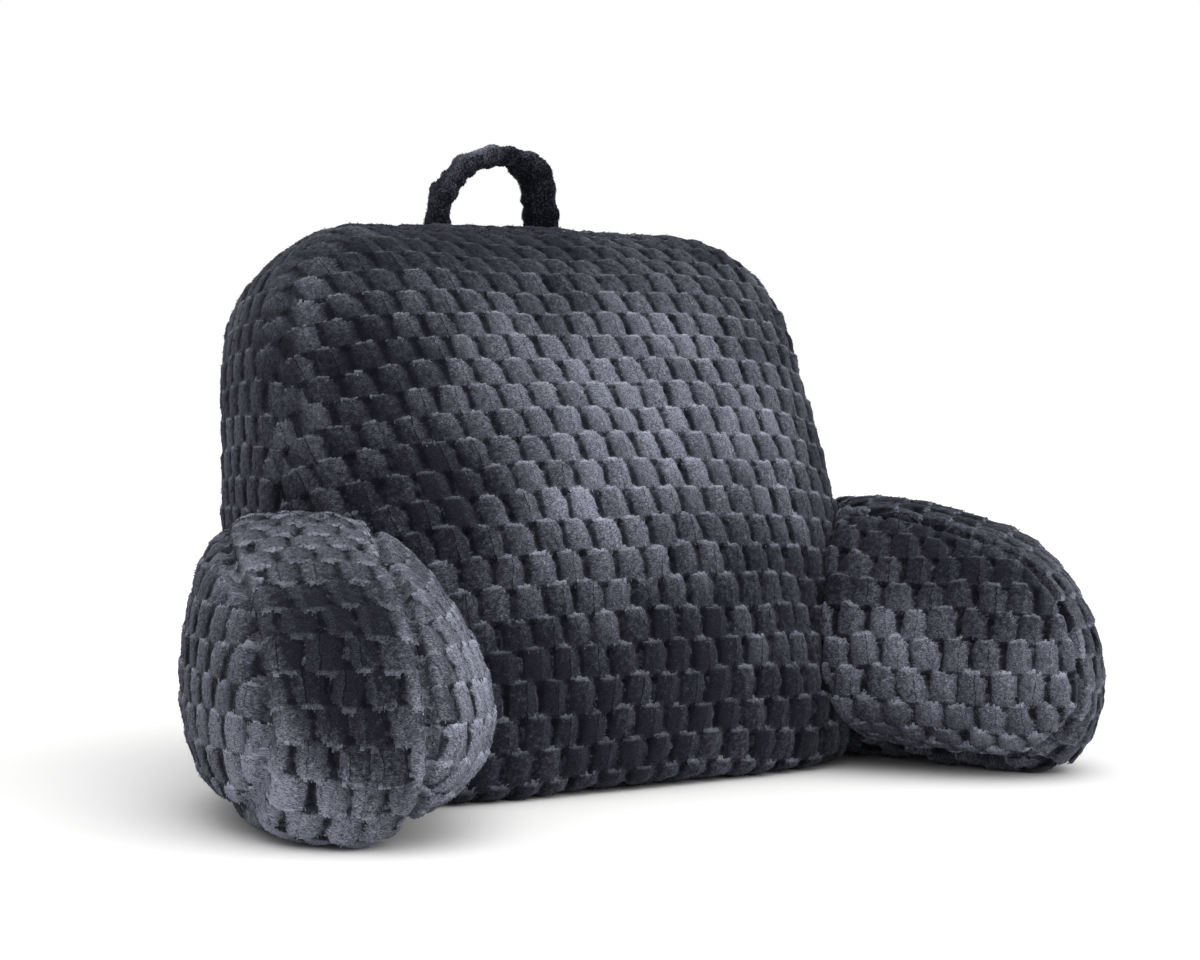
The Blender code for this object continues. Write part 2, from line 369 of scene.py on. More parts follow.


# Cut pile on the cells: streaks that lie across, a painted highlight on the top edge, a fine parting line
# and dark sides in painted shade.
def cellMaterial():
    material = bpy.data.materials.new("charcoalPlush")
    material.use_nodes = True
    tree = material.node_tree
    finish = plushFinish

    def times(first, second, clamp=False):
        return mathNode(tree, "MULTIPLY", first, second, clamp=clamp)

    def added(first, share, base, clamp=False):  # first times share, on top of base
        return mathNode(tree, "MULTIPLY_ADD", first, share, base, clamp)

    def less(first, second):
        return mathNode(tree, "SUBTRACT", first, second)

    grid = newNode(tree, "ShaderNodeUVMap", (-1600, 200), uv_map="cellPlace")
    split = newNode(tree, "ShaderNodeSeparateXYZ", (-1400, 200))
    tree.links.new(grid.outputs["UV"], split.inputs[0])
    aside, down = split.outputs[0], split.outputs[1]
    coords = newNode(tree, "ShaderNodeTexCoord", (-1400, 0)).outputs["Object"]
    tone = attributeNode(tree, "tone", (-1400, 500))
    chance = attributeNode(tree, "cellChance", (-1400, 400))
    depth = attributeNode(tree, "depth", (-1400, 300))
    bend = noiseNode(tree, coords, finish["bendScale"], 1.0)
    clumps = noiseNode(tree, coords, finish["clumpScale"], 1.0)

    # the streaks
    slant = added(bend, finish["fibreBend"], added(aside, finish["fibreSlant"], down))
    fibres = newNode(tree, "ShaderNodeCombineXYZ", (-1200, -100))
    tree.links.new(times(aside, finish["fibresAcross"]), fibres.inputs[0])
    tree.links.new(times(slant, finish["fibresDown"]), fibres.inputs[1])
    tree.links.new(times(chance, finish["fibreSpread"]), fibres.inputs[2])
    flecks = noiseNode(tree, fibres.outputs[0], 1.0, finish["fibreDetail"])

    # how light the pile is: its tone, brushed and painted light and shade, and its clumps
    amount = less(added(tone, finish["brushedAndLitShare"], finish["body"]), finish["clumps"] / 2)
    amount = added(clumps, finish["clumps"], amount)
    amount = mathNode(tree, "MAXIMUM", amount, finish["darkest"])

    # the parting line, in half of the cells, in painted shade, and a painted highlight on the side beyond it
    past = less(added(bend, finish["partingBend"], aside), finish["partingPlace"])
    amount = added(smoothNode(tree, past, finish["facetWidth"]), finish["facetHighlight"], amount)
    line = less(1.0, smoothNode(tree, mathNode(tree, "ABSOLUTE", past), finish["partingWidth"]))
    parted = mathNode(tree, "GREATER_THAN", chance, 0.5)
    amount = added(times(line, parted), -finish["parting"], amount, clamp=True)

    # a painted sheen on one side: the right one in half of the cells
    toSide = less(times(aside, less(times(parted, 2.0), 1.0)), finish["sideLightFrom"])
    breaks, fade = finish["sideLightBreaks"]
    paintedSideSheen = times(tone, -finish["sideLight"], clamp=True)
    paintedSideSheen = times(paintedSideSheen, smoothNode(tree, toSide, finish["sideLightWidth"]))
    paintedSideSheen = times(paintedSideSheen, smoothNode(tree, less(bend, breaks), fade))

    # painted shade on the sides and foot, and in the grooves
    leftSide = smoothNode(tree, mathNode(tree, "ADD", aside, finish["sides"]), finish["leftShade"])
    rightSide = smoothNode(tree, less(finish["sides"], aside), finish["rightShade"])
    foot = smoothNode(tree, less(finish["footEnd"], down), finish["footShade"])
    edge = times(times(leftSide, rightSide), foot)
    edge = added(edge, 1 - finish["edgeDark"], finish["edgeDark"])
    amount = added(amount, edge, paintedSideSheen)
    raised = smoothNode(tree, times(depth, 1000 / finish["grooveDepth"]), 1.0)
    amount = times(amount, added(raised, 1 - finish["grooveLight"], finish["grooveLight"]))

    # painted light and shade: how each cell would turn towards the light
    turned = added(aside, finish["turnLight"], 1.0 + finish["puffShade"] * finish["puffMiddle"])
    domed = times(times(aside, aside), finish["puffShade"])
    sunk = times(less(down, finish["sinkFrom"]), finish["sinkShade"])
    amount = times(amount, less(less(turned, domed), sunk))
    grain = added(flecks, finish["fleck"], 1 - 0.5 * finish["fleck"])
    amount = times(amount, grain, clamp=True)

    # the painted highlight on the top edge
    breaks, fade = finish["lipBreaks"]
    lipHighlight = less(1.0, smoothNode(tree, down, finish["lipHeight"]))
    lipHighlight = times(lipHighlight, added(flecks, *finish["lipGrain"]), clamp=True)
    lipHighlight = times(lipHighlight, smoothNode(tree, less(bend, breaks), fade))
    share = added(tone, finish["lipHighlightByTone"], finish["lipHighlight"], clamp=True)
    finishPlush(tree, amount, flecks, times(lipHighlight, share))
    return material


strapFinish = {
    "body": -0.41,  # how light the pile is before the flecks and clumps
    "flecks": 1.4,
    "fleckScale": 520.0,
    "clumps": 0.4,
    "clumpScale": 90.0,
}


# The same pile where it lies plain, on the strap.
def strapMaterial():
    material = bpy.data.materials.new("strapPlush")
    material.use_nodes = True
    tree = material.node_tree
    coords = newNode(tree, "ShaderNodeTexCoord", (-1400, 0)).outputs["Object"]
    tone = attributeNode(tree, "tone", (-1400, 500))
    flecks = noiseNode(tree, coords, strapFinish["fleckScale"], 2.0)
    clumps = noiseNode(tree, coords, strapFinish["clumpScale"], 1.0)
    amount = mathNode(tree, "MULTIPLY_ADD", flecks, strapFinish["flecks"], strapFinish["body"])
    amount = mathNode(tree, "MULTIPLY_ADD", clumps, strapFinish["clumps"], amount)
    amount = mathNode(tree, "MULTIPLY_ADD", tone, plushFinish["brushedAndLitShare"], amount, clamp=True)
    finishPlush(tree, amount, flecks)
    return material


stuffing = {
    "mergeWithin": 0.00005,
    "frames": 20,
    "softenAfter": 3,
}


# A copy of the solid, remeshed, taken in and then puffed up with Cloth under pressure.
def stuffedCopy(settings):
    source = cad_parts[settings["node"]]
    piece = addObject(settings["name"], source.data.copy())
    pick(piece)
    bpy.ops.object.mode_set(mode="EDIT")
    bpy.ops.mesh.select_all(action="SELECT")
    bpy.ops.mesh.remove_doubles(threshold=stuffing["mergeWithin"])
    bpy.ops.object.mode_set(mode="OBJECT")
    voxelRemesh(piece, settings["voxel"])
    softenSurface(piece, settings["soften"])
    mesh = piece.data
    start = readVertices(mesh) - readVertices(mesh, "normal") * settings["shrink"]
    writeVertices(mesh, start)
    cloth = piece.modifiers.new("puff", "CLOTH")
    cloth.settings.use_pressure = True
    cloth.settings.uniform_pressure_force = settings["pressure"]
    cloth.settings.effector_weights.gravity = 0.0
    cloth.collision_settings.use_collision = False
    for frameNumber in range(1, stuffing["frames"] + 1):
        scene.frame_set(frameNumber)
    puffed = piece.evaluated_get(bpy.context.evaluated_depsgraph_get())
    moved = readVertices(puffed.data) - start
    piece.modifiers.remove(cloth)
    scene.frame_set(1)
    length = np.linalg.norm(moved, axis=1, keepdims=True)
    moved *= np.minimum(1, settings["swell"] / np.maximum(length, 1e-9))
    writeVertices(mesh, start + moved)
    softenSurface(piece, stuffing["softenAfter"])
    print(settings["name"], "stuffed")
    return piece


flattening = {
    "places": 61,  # where the profile across a panel's middle is read
    "strip": 0.02,  # half the width of the strip that it is read from
    "smoothOver": 5,
    "edgeParts": 180,  # round a cushion's edge
}


# The length along an arc that bulges from its chord, when it has gone so far along and fallen so deep.
def arcLength(along, fallen):
    reach = np.maximum(np.abs(along), 1e-6)
    turn = np.arctan2(np.maximum(fallen, 0), reach)
    stretch = np.hypot(reach, fallen) * turn / np.maximum(np.sin(turn), 1e-6) / reach
    return along * np.where(turn < 1e-3, 1.0, stretch)


# Where a point of a domed panel lies on the flat cloth, whose rows and columns stay level and upright.
def flatOnCloth(points, chosen, middle, acrossAxis, upAxis, outAxis):
    offset = points - np.array(middle)
    across, up, out = (offset @ np.array(axis) for axis in (acrossAxis, upAxis, outAxis))
    reach = max(np.abs(across[chosen]).max(), np.abs(up[chosen]).max())
    places = np.linspace(-reach, reach, flattening["places"])
    over = flattening["smoothOver"]

    def profile(along, beside):
        near = chosen & (np.abs(beside) < flattening["strip"])
        order = np.argsort(along[near])
        heights = np.interp(places, along[near][order], out[near][order])
        return np.convolve(np.pad(heights, over // 2, mode="edge"), np.ones(over) / over, mode="valid")

    rowFall = np.interp(up, places, profile(up, across)) - out
    columnFall = np.interp(across, places, profile(across, up)) - out
    return arcLength(across, np.maximum(rowFall, 0)), arcLength(up, np.maximum(columnFall, 0))


# How far round a cushion's edge a point lies, from where its outline is at that angle.
def aroundEdge(across, up, ring, startAngle):
    parts = flattening["edgeParts"]
    angle = (np.arctan2(up, across) - startAngle) % math.tau
    radius = np.hypot(across, up)
    edges = np.linspace(0, math.tau, parts + 1)
    centres = (edges[1:] + edges[:-1]) / 2
    place = np.clip((angle[ring] / math.tau * parts).astype(int), 0, parts - 1)
    total = np.bincount(place, radius[ring], parts)
    count = np.bincount(place, minlength=parts)
    filled = count > 0
    profile = np.interp(centres, centres[filled], total[filled] / count[filled], period=math.tau)
    steps = np.hypot(np.gradient(profile), profile * math.tau / parts)
    length = np.concatenate(([0], np.cumsum(steps)))
    return np.interp(angle, edges, length)


# How much a patch, given as its place, reach and amount, changes each point.
def patchAt(points, patch):
    *place, reach, amount = patch
    return amount * fadeOut(np.linalg.norm(points - np.array(place), axis=1), reach)


mottling = {"amount": 0.22, "size": 0.10}


# How much lighter or darker the pile is at each point: brushed tone, and painted light and shade.
def toneBrushedAndLit(points, settings):
    tone = settings["tone"] + mottling["amount"] * lumpy(points, mottling["size"], settings["seed"] + 9)
    for patch in settings["brushedAndLit"]:
        tone += patchAt(points, patch)
    return tone


# Swells soft lumps and draws the seams in, and lays the cushion's panels flat.
def shapeCushion(piece, layout, settings):
    mesh = piece.data
    points = readVertices(mesh)
    normals = readVertices(mesh, "normal")
    panels, panelOf, nap, toSeam = layout(points, normals)
    rise = settings["lumps"] * lumpy(points, settings["lumpSize"], settings["seed"])
    rise -= settings["seamDepth"] * fadeOut(toSeam, settings["seamWidth"])
    shaped = points + normals * rise[:, None]
    shaped[:, 2] = np.maximum(shaped[:, 2], overFloor)
    writeVertices(mesh, shaped)
    pick(piece)
    bpy.ops.object.shade_smooth()
    return {"panels": panels, "panelOf": panelOf, "nap": nap, "triangles": readTriangles(mesh)}


panelSearch = {
    "core": 2,  # rings of faces past a panel's own that a cell's middle may lie on
    "reach": 4,  # and that its outline may reach
    "longest": 0.05,  # a face that is longer than this on the flat cloth lies across its cut
}


# Looks up where flat places of a panel lie on the cushion: point, normal, nap, if inside, how far off.
def onPanel(piece, laid, number, flat):
    mesh = piece.data
    points = readVertices(mesh)
    normals = readVertices(mesh, "normal")
    across, up = laid["panels"][number]
    triangles = laid["triangles"]
    near = laid["panelOf"] == number
    for ring in range(panelSearch["reach"]):
        grown = near[triangles].any(axis=1)
        near[triangles[grown].ravel()] = True
        if ring + 1 == panelSearch["core"]:
            core = near.copy()
    kept = triangles[near[triangles].all(axis=1)]
    spread = np.ptp(across[kept], axis=1) + np.ptp(up[kept], axis=1)
    kept = kept[spread < panelSearch["longest"]]
    inner = core[kept].all(axis=1)
    flatPoints = np.column_stack((across, up, np.zeros(len(across))))
    tree = BVHTree.FromPolygons(flatPoints.tolist(), kept.tolist())
    found = [tree.find_nearest((float(x), float(y), 0.0)) for x, y in flat]
    spots = np.array([hit[0][:2] for hit in found])
    index = np.array([hit[2] for hit in found])
    corner = kept[index]
    weights = shares(flatPoints[corner][:, :, :2], spots)
    place = [np.einsum("ij,ijk->ik", weights, field[corner]) for field in (points, normals, laid["nap"])]
    missed = np.linalg.norm(spots - flat, axis=1)
    return place[0], unit(place[1]), unit(place[2]), inner[index], missed


# How much of each corner a spot in a triangle takes.
def shares(corners, spots):
    first = corners[:, 1] - corners[:, 0]
    second = corners[:, 2] - corners[:, 0]
    reach = spots - corners[:, 0]
    pairs = ((first, first), (first, second), (second, second), (reach, first), (reach, second))
    aa, ab, bb, ra, rb = (np.sum(p * q, axis=1) for p, q in pairs)
    whole = np.maximum(aa * bb - ab * ab, 1e-20)
    b = (bb * ra - ab * rb) / whole
    c = (aa * rb - ab * ra) / whole
    weights = np.clip(np.column_stack((1 - b - c, b, c)), 0, 1)
    return weights / weights.sum(axis=1, keepdims=True)


# The plush is sculpted in staggered rows of cells, like shingles, each a barrel with a crisp top.
plushCell = {
    "wide": 0.0252,
    "high": 0.0238,
    "columns": (-1.0, -0.86, -0.36, 0.06, 0.36, 0.42, 0.88, 1.0),  # shares of half the width
    "rows": (0.0, 0.05, 0.21, 0.40, 0.68, 0.90, 1.0),  # shares of the length
    "length": 1.19,  # counted in rows, so that the foot reaches over the row below
    "halfTop": 0.275,
    "halfBody": 0.458,
    "halfFoot": 0.39,
    "shoulder": 0.36,  # share of the length where the sides are fully out
    "shoulderCurve": 1.15,
    "taper": 0.84,  # and where the foot begins
    "taperCurve": 2.2,
    "footArch": 0.05,  # how far the foot's corners are drawn up, in rows
    "topArch": 0.02,  # and how far the top's corners hang
    "pile": 0.0078,
    "crown": 0.10,  # how much lower its sides are than its middle, as a share of the pile
    "topRim": 0.03,  # how far the rim falls
    "sideRim": 0.22,
    "footRim": 0.40,
    "deepestRim": 0.60,
    "slope": 0.34,  # how much lower a cell is at its foot than at its top
    "bevel": 0.13,  # how much lower it is at its right side
    "bevelFrom": 0.30,
    "parting": (0.39, 0.04, 0.05),  # the fine groove there: its place, width and depth
    "lean": 0.34,  # how far the pile leans down the nap, for each metre it stands up
    "root": 0.0016,  # how deep the cell is rooted in the cushion
    "rootWider": 1.06,  # how far out the foot of its walls counts, which keeps them in the painted shade of the sides
    "uneven": 0.15,
    "bumps": 0.02,
    "ragged": 0.024,
    "raggedInside": 0.4,  # shares of it off the rim and along the foot
    "raggedFoot": 2.2,
    "resize": 0.03,
    "turn": 0.035,
    "tilt": 0.05,
    "shift": 0.018,
    "toneSpread": 0.10,
    "wander": 0.0013,  # how far the rows and columns stray
    "wanderAcross": 0.075,  # over these lengths
    "wanderUp": 0.085,
    "offPanel": 0.002,  # a cell is left out if its middle is further off than this
    "offFloor": 0.006,  # or lower than this
}


# The outline and height of one cell: aside and down are counted in cells, height in piles.
def cellShape():
    cell = plushCell
    u, v = (grid.ravel() for grid in np.meshgrid(cell["columns"], cell["rows"]))
    widening = 1 - (1 - np.clip(v / cell["shoulder"], 0, 1)) ** cell["shoulderCurve"]
    half = cell["halfTop"] + (cell["halfBody"] - cell["halfTop"]) * widening
    footShare = np.clip((v - cell["taper"]) / (1 - cell["taper"]), 0, 1)
    half -= (cell["halfBody"] - cell["halfFoot"]) * footShare ** cell["taperCurve"]
    aside = u * half
    down = v * cell["length"] - cell["footArch"] * footShare * u**2 + cell["topArch"] * u**2 * (v == 0)
    beyond = np.clip((u - cell["bevelFrom"]) / (1 - cell["bevelFrom"]), 0, 1)
    place, width, deep = cell["parting"]
    height = 1 - cell["slope"] * v - cell["bevel"] * beyond
    height -= cell["crown"] * u**2
    height -= deep * fadeOut(u - place, width)
    rim = (np.abs(u) == 1) * cell["sideRim"] + (v == 0) * cell["topRim"] + (v == 1) * cell["footRim"]
    return u, v, aside, down, height - np.minimum(rim, cell["deepestRim"])


# The faces of one closed cell: its top grid, the walls round it, and its floor.
def cellFaces():
    wide = len(plushCell["columns"])
    high = len(plushCell["rows"])
    faces = []
    for row in range(high - 1):
        for column in range(wide - 1):
            start = row * wide + column
            faces.append((start, start + wide, start + wide + 1, start + 1))
    ring = [(high - 1) * wide + k for k in range(wide)]
    ring += [row * wide + wide - 1 for row in range(high - 2, -1, -1)]
    ring += [k for k in range(wide - 2, -1, -1)]
    ring += [row * wide for row in range(1, high - 1)]
    skirt = [wide * high + k for k in range(len(ring))]
    for k in range(len(ring)):
        after = (k + 1) % len(ring)
        faces.append((ring[k], skirt[k], skirt[after], ring[after]))
    faces.append(tuple(reversed(skirt)))
    return faces, np.array(ring)


# Where the cells of a panel have their middles on the flat cloth, in staggered rows.
def cellMiddles(piece, laid, number):
    cell = plushCell
    across, up = (field[laid["panelOf"] == number] for field in laid["panels"][number])
    rows = np.arange(math.floor(-up.max() / cell["high"]) - 2, math.ceil(-up.min() / cell["high"]) + 2)
    left, right = math.floor(across.min() / cell["wide"]), math.ceil(across.max() / cell["wide"])
    row, column = (grid.ravel() for grid in np.meshgrid(rows, np.arange(left - 2, right + 2), indexing="ij"))
    middle = np.column_stack(((column + 0.5 * (row % 2)) * cell["wide"], -(row + 0.5) * cell["high"]))
    point, _, _, inner, missed = onPanel(piece, laid, number, middle)
    return middle[inner & (missed < cell["offPanel"]) & (point[:, 2] > cell["offFloor"])]


# The cells' outlines on the flat cloth and their heights, each cell a little different.
def scatterCells(middle, shape, onRim, settings, chance):
    cell = plushCell
    loose = settings["loose"]
    u, v, aside, down, height = shape
    count = len(middle)
    size = 1 + chance.uniform(-cell["resize"], cell["resize"], (count, 1)) * loose
    ragged = chance.normal(0, cell["ragged"] * loose, (2, count, len(u)))
    ragged *= np.where(onRim, 1.0, cell["raggedInside"])
    ragged[1] *= np.where(v == 1, cell["raggedFoot"], 1.0) * (v != cell["rows"][1])
    turn = chance.normal(0, cell["turn"] * loose, (count, 1))
    tilt = chance.normal(0, cell["tilt"] * loose, (2, count, 1))
    piles = height * (1 + chance.uniform(-0.5, 0.5, (count, 1)) * cell["uneven"])
    piles = piles + tilt[0] * u + tilt[1] * (v - 0.5) + chance.normal(0, cell["bumps"], (count, len(u)))
    shift = chance.normal(0, cell["shift"] * loose, (2, count, 1))
    x = middle[:, :1] + (aside * size + ragged[0] + turn * (down - 0.5) + shift[0]) * cell["wide"]
    y = middle[:, 1:] - ((down - 0.5) * size + ragged[1] - turn * aside + shift[1]) * cell["high"]
    strayX = cell["wander"] * ripple(x, y, cell["wanderAcross"], settings["seed"])
    strayY = cell["wander"] * ripple(x, y, cell["wanderUp"], settings["seed"] + 2)
    return np.stack((x - strayX, y - strayY), axis=2), piles


# Grows the cells on a cushion, as one mesh of closed barrels, with a row of fields for each of its points:
# its place in its cell and on the flat cloth, its nap, its tone, its cell's chance and its panel's number.
def growCells(piece, laid, settings):
    cell = plushCell
    name = settings["node"] + "_cells"
    chance = np.random.default_rng(settings["seed"])
    shape = cellShape()
    aside, down = shape[2:4]
    faces, ring = cellFaces()
    onRim = np.zeros(len(aside), bool)
    onRim[ring] = True
    allPoints, allFields = [], []
    for number in np.unique(laid["panelOf"]):
        middle = cellMiddles(piece, laid, number)
        count = len(middle)
        flat, piles = scatterCells(middle, shape, onRim, settings, chance)
        point, normal, nap, _, _ = onPanel(piece, laid, number, flat.reshape(-1, 2))
        nap = unit(nap - normal * np.sum(nap * normal, axis=1, keepdims=True))
        lift = (piles * cell["pile"] * settings["pile"]).reshape(-1, 1)
        for patch in settings["pressed"]:
            lift *= 1 - patchAt(point, patch)[:, None]
        top = (point + (normal + nap * cell["lean"]) * lift).reshape(count, -1, 3)
        root = (point - normal * cell["root"]).reshape(count, -1, 3)[:, ring]
        points = np.concatenate((top, root), axis=1)
        points[:, :, 2] = np.maximum(points[:, :, 2], overFloor)
        tones = toneBrushedAndLit(points.reshape(-1, 3), settings).reshape(count, -1, 1)
        tones += chance.normal(0, cell["toneSpread"], (count, 1, 1))
        place = np.stack((np.tile(aside, (count, 1)), np.tile(down, (count, 1))), axis=2)
        fields = np.concatenate((place, flat, nap.reshape(count, -1, 3)), axis=2)
        fields = np.concatenate((fields, fields[:, ring]), axis=1)
        fields[:, len(aside) :, 0] *= cell["rootWider"]
        chances = np.broadcast_to(chance.random((count, 1, 1)), tones.shape)
        numbers = np.full(tones.shape, float(number))
        allPoints.append(points)
        allFields.append(np.concatenate((fields, tones, chances, numbers), axis=2))
    points, fields = np.concatenate(allPoints), np.concatenate(allFields)
    made = bpy.data.meshes.new(name)
    start = np.arange(len(points)) * points.shape[1]
    faceList = [tuple(np.array(face) + first) for first in start for face in faces]
    made.from_pydata(points.reshape(-1, 3).tolist(), [], faceList)
    print(name, len(points), "cells,", len(made.polygons), "faces")
    return addObject(name, made), fields.reshape(-1, fields.shape[2]), points.shape[1]


melting = {
    "clumpSize": 0.0065,  # of the little lumps in the pile
    "clumpSeed": 5,
    "besideSeam": (0.009, 0.006),  # how far from a seam the pile is lighter, and how broadly
    "bakeGap": 0.01,  # between the panels, where they lie side by side in the texture layout
    "bakeMargin": 0.002,
    "bakeFit": 1.01,
}


# Melts a cushion and its cells into one soft surface, which keeps each cell's place, tone and nap.
def meltTogether(cushion, cellPiece, layout, settings):
    baseTree = BVHTree.FromObject(cushion, bpy.context.evaluated_depsgraph_get())
    cells, fields, each = cellPiece
    triangles = readTriangles(cells.data)
    points = readVertices(cells.data)
    cellTree = BVHTree.FromPolygons(points.tolist(), triangles.tolist())
    pick(cushion)
    cells.select_set(True)
    bpy.ops.object.join()
    voxelRemesh(cushion, settings["pileVoxel"])
    softenSurface(cushion, settings["pileSoften"])
    mesh = cushion.data
    surface = readVertices(mesh)
    hits = [cellTree.find_nearest(Vector(spot)) for spot in surface]
    index = np.array([hit[2] for hit in hits])
    weights = shares(points[triangles[index]], np.array([hit[0][:] for hit in hits]))
    found = np.einsum("ij,ijk->ik", weights, fields[triangles[index]])
    place, flat, nap = found[:, :2], found[:, 2:4], found[:, 4:7]
    tone, cellChance, panelOf = found[:, 7:].T

    # the seams are drawn in, and the gaps beside them filled with pile
    depth = np.array([baseTree.find_nearest(Vector(spot))[3] for spot in surface])
    toSeam = layout(surface, readVertices(mesh, "normal"))[3]
    rise = lumpy(surface, melting["clumpSize"], melting["clumpSeed"]) * settings["clumps"]
    rise -= settings["seamDepth"] * fadeOut(toSeam, settings["seamWidth"])
    filled = settings["seamFill"] * fadeOut(toSeam, settings["fillReach"])
    gap = np.maximum(np.maximum(filled, settings["gapFill"]) - depth, 0)
    surface = surface + readVertices(mesh, "normal") * (rise + gap)[:, None]
    surface[:, 2] = np.maximum(surface[:, 2], overFloor)
    writeVertices(mesh, surface)

    away, broad = melting["besideSeam"]
    writeAttribute(mesh, "tone", tone + settings["seamTone"] * fadeOut(toSeam - away, broad))
    writeAttribute(mesh, "cellChance", cellChance)
    writeAttribute(mesh, "depth", depth + gap)

    # a face that lies across two cells or panels takes its first corner's place all over
    sides, firstLoop, vertexOf = readCorners(mesh)
    firstOf = vertexOf[np.repeat(firstLoop, sides)]
    cellHere = triangles[index][:, 0] // each
    layers = (("cellPlace", place, cellHere), ("OFBake", spreadPanels(flat, panelOf), panelOf))
    for layerName, field, part in layers:
        corner = np.where(part[vertexOf] == part[firstOf], vertexOf, firstOf)
        writeLayer(mesh, layerName, field[corner])
    pick(cushion)
    bpy.ops.object.shade_smooth()
    print(settings["name"], "melted:", len(mesh.polygons), "faces")
    return unit(nap)


# Lays the flat panels side by side in one square, as a texture layout.
def spreadPanels(flat, panelOf):
    flat = flat.copy()
    taken = 0.0
    for number in np.unique(panelOf):
        chosen = panelOf == number
        flat[chosen] -= flat[chosen].min(axis=0)
        width = flat[chosen][:, 0].max()
        flat[chosen] += (taken, 0.0)
        taken += width + melting["bakeGap"]
    return flat / (max(taken, flat[:, 1].max()) * melting["bakeFit"]) + melting["bakeMargin"]


tuftShape = {
    "length": 0.0023,
    "width": 0.0008,
    "thickness": 0.0005,
    "sizes": (0.6, 1.25),
    "rooted": 0.0004,
    "alongNap": 0.90,
    "upright": 0.20,
    "stray": 0.22,
    "roll": 0.25,
    "lighter": 0.02,  # the tips catch more light than the pile below
    "toneSpread": 0.12,
    "overFloor": 0.0003,
}

tuftFaces = ((0, 1, 2), (0, 3, 1), (1, 3, 2), (0, 2, 3))
tuftBake = ((0.2, 0.2), (0.8, 0.2), (0.2, 0.8), (0.8, 0.8))  # its four points in its own square


# Short tufts of pile, spread over a finished piece, each a closed wedge that ends in an edge.
def growTufts(piece, nap, name, count, seed, size=1.0):
    mesh = piece.data
    tuft = tuftShape
    chance = np.random.default_rng(seed)
    sides, firstLoop, corners = readCorners(mesh)
    weight = readFaces(mesh, "area", 1) * (sides < 5)  # only on plain faces
    chosen = chance.choice(len(sides), count, p=weight / weight.sum())
    a, b, c = (corners[firstLoop + k][chosen] for k in range(3))
    out = readFaces(mesh, "normal", 3)[chosen]
    points = readVertices(mesh)
    spot = chance.random((count, 2))
    foot = points[a] + (points[b] - points[a]) * spot[:, :1] + (points[c] - points[b]) * spot[:, 1:]
    direction = nap[a] * tuft["alongNap"] + out * tuft["upright"]
    direction = unit(direction + chance.normal(0, tuft["stray"], (count, 3)))
    scale = chance.uniform(*tuft["sizes"], count)[:, None] * size
    sideways = unit(np.cross(direction, out + chance.normal(0, tuft["roll"], (count, 3))))
    thick = np.cross(direction, sideways) * tuft["thickness"] / 2 * scale
    wide = sideways * tuft["width"] / 2 * scale
    foot = foot - out * tuft["rooted"]
    tip = foot + direction * tuft["length"] * scale
    spikes = np.stack((foot - thick, foot + thick, tip - wide, tip + wide), axis=1)
    spikes[:, :, 2] = np.maximum(spikes[:, :, 2], tuft["overFloor"])
    start = np.arange(count)[:, None] * 4
    tufts = bpy.data.meshes.new(name)
    faces = np.vstack([start + np.array(turn) for turn in tuftFaces])
    tufts.from_pydata(spikes.reshape(-1, 3).tolist(), [], faces.tolist())

    # each tuft takes the tone, chance and depth of the pile that it grows from
    for field in ("tone", "cellChance", "depth"):
        if field in mesh.attributes:
            values = np.empty(len(mesh.vertices))
            mesh.attributes[field].data.foreach_get("value", values)
            values = values[a]
            if field == "tone":
                values = values + tuft["lighter"] + chance.normal(0, tuft["toneSpread"], count)
            writeAttribute(tufts, field, np.repeat(values, 4))
    side = math.ceil(math.sqrt(count))
    order = np.arange(count)
    square = np.column_stack((order % side, order // side)) / side
    turns = np.array(tuftFaces).ravel()
    writeLayer(tufts, "OFBake", square[None, :, None] + np.array(tuftBake)[turns].reshape(4, 1, 3, 2) / side)
    if "cellPlace" in mesh.uv_layers:
        flat = np.empty(len(mesh.loops) * 2)
        mesh.uv_layers["cellPlace"].uv.foreach_get("vector", flat)
        rooted = np.repeat(flat.reshape(-1, 2)[firstLoop[chosen]], 3, axis=0)
        writeLayer(tufts, "cellPlace", np.tile(rooted, (4, 1)))
    return addObject(name, tufts)


def finishPiece(piece, material, nodes=()):
    piece.data.materials.clear()
    piece.data.materials.append(material)
    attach(piece, "root")
    if nodes:
        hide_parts(*nodes)


def makeCushion(settings, layout):
    cushion = stuffedCopy(settings)
    laid = shapeCushion(cushion, layout, settings)
    cells = growCells(cushion, laid, settings)
    nap = meltTogether(cushion, cells, layout, settings)
    finishPiece(cushion, plush, [settings["node"]])
    return cushion, nap, settings


